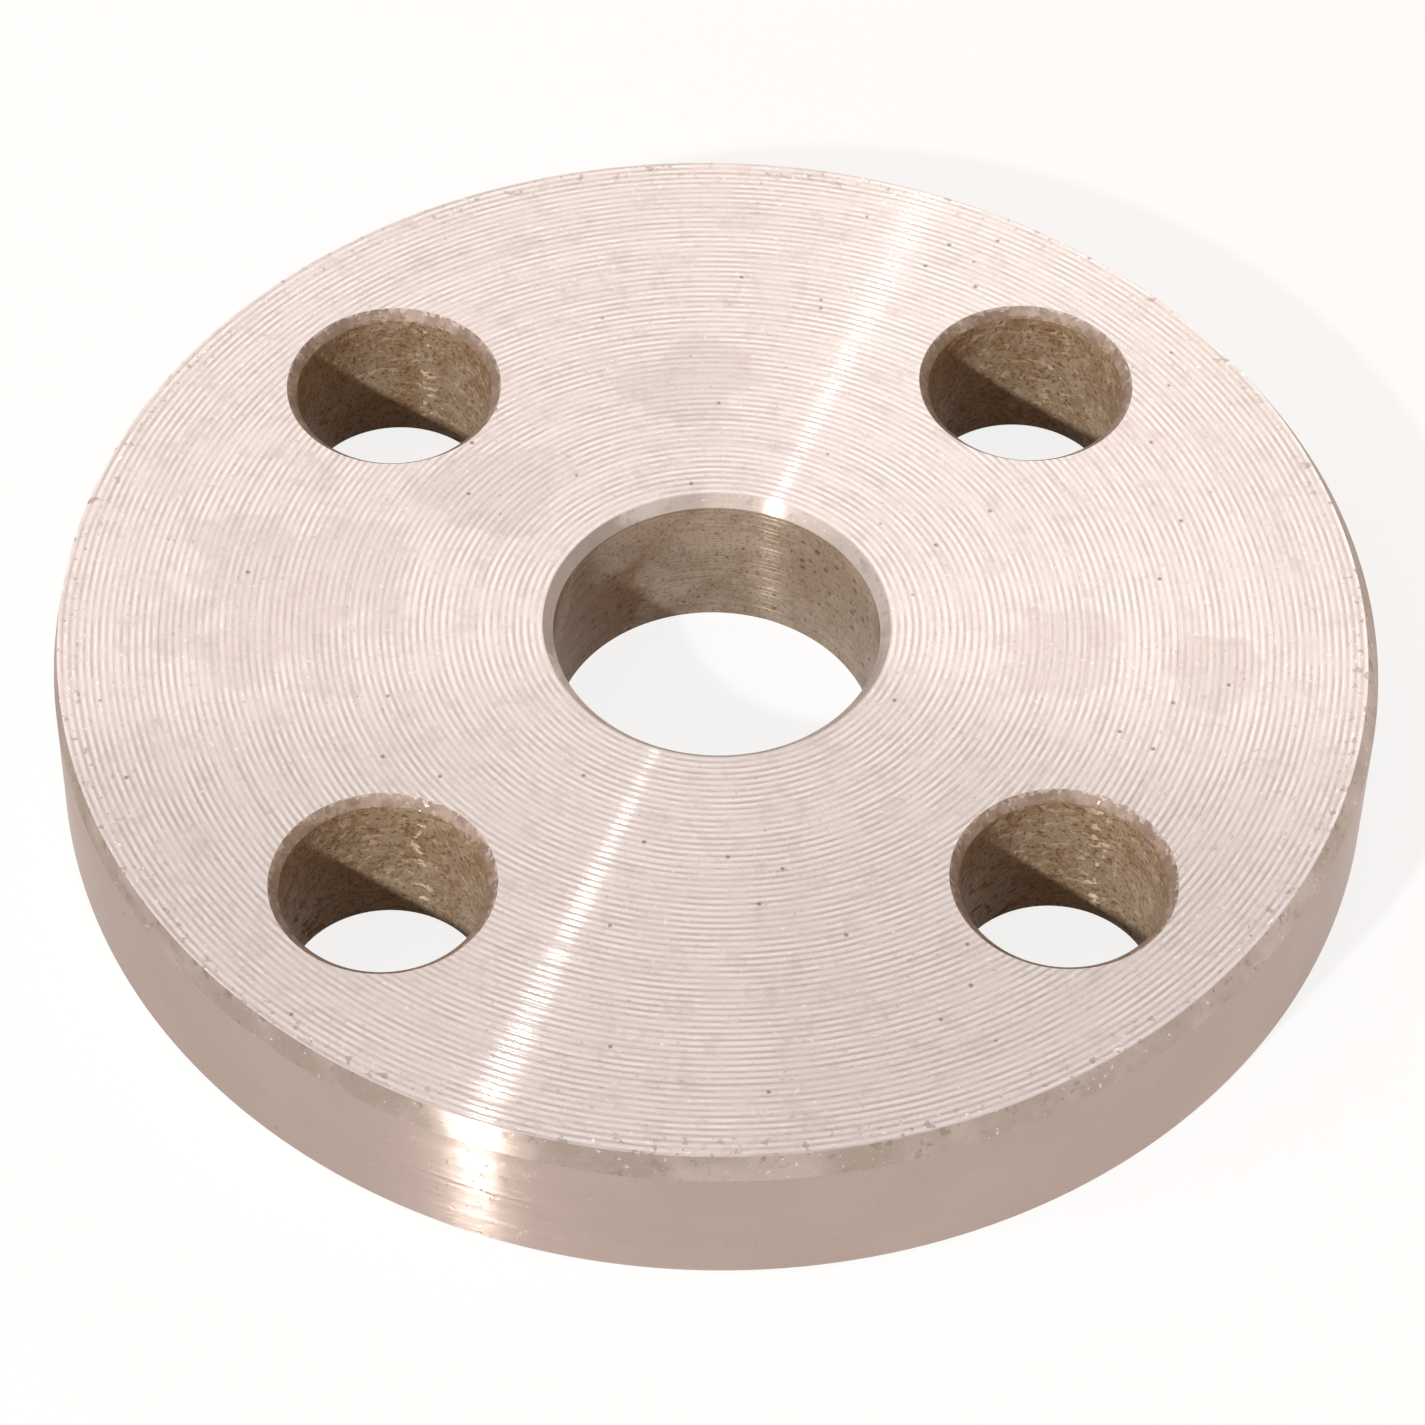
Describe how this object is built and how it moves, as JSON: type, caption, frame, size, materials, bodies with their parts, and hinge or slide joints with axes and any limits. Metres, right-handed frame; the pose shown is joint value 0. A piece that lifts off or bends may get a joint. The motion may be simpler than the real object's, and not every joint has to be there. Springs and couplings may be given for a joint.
{
  "type": "plate flange",
  "caption": "Flat round steel plate flange with a central pipe bore, bolt holes on a circle and a turned gasket face, for bolting pipe ends together.",
  "frame": {"origin": "on the bore's axis at the back face", "axes": "+Z along the bore's axis, out of the gasket face; +X and +Y each pass midway between two bolt holes"},
  "size_m": [0.095, 0.095, 0.0127],
  "materials": {
    "turned_steel": "bare turned steel, faced with a fine spiral feed groove, warm grey"
  },
  "bodies": {
    "root": {"flange_plate": "turned_steel"}
  },
  "joints": []
}
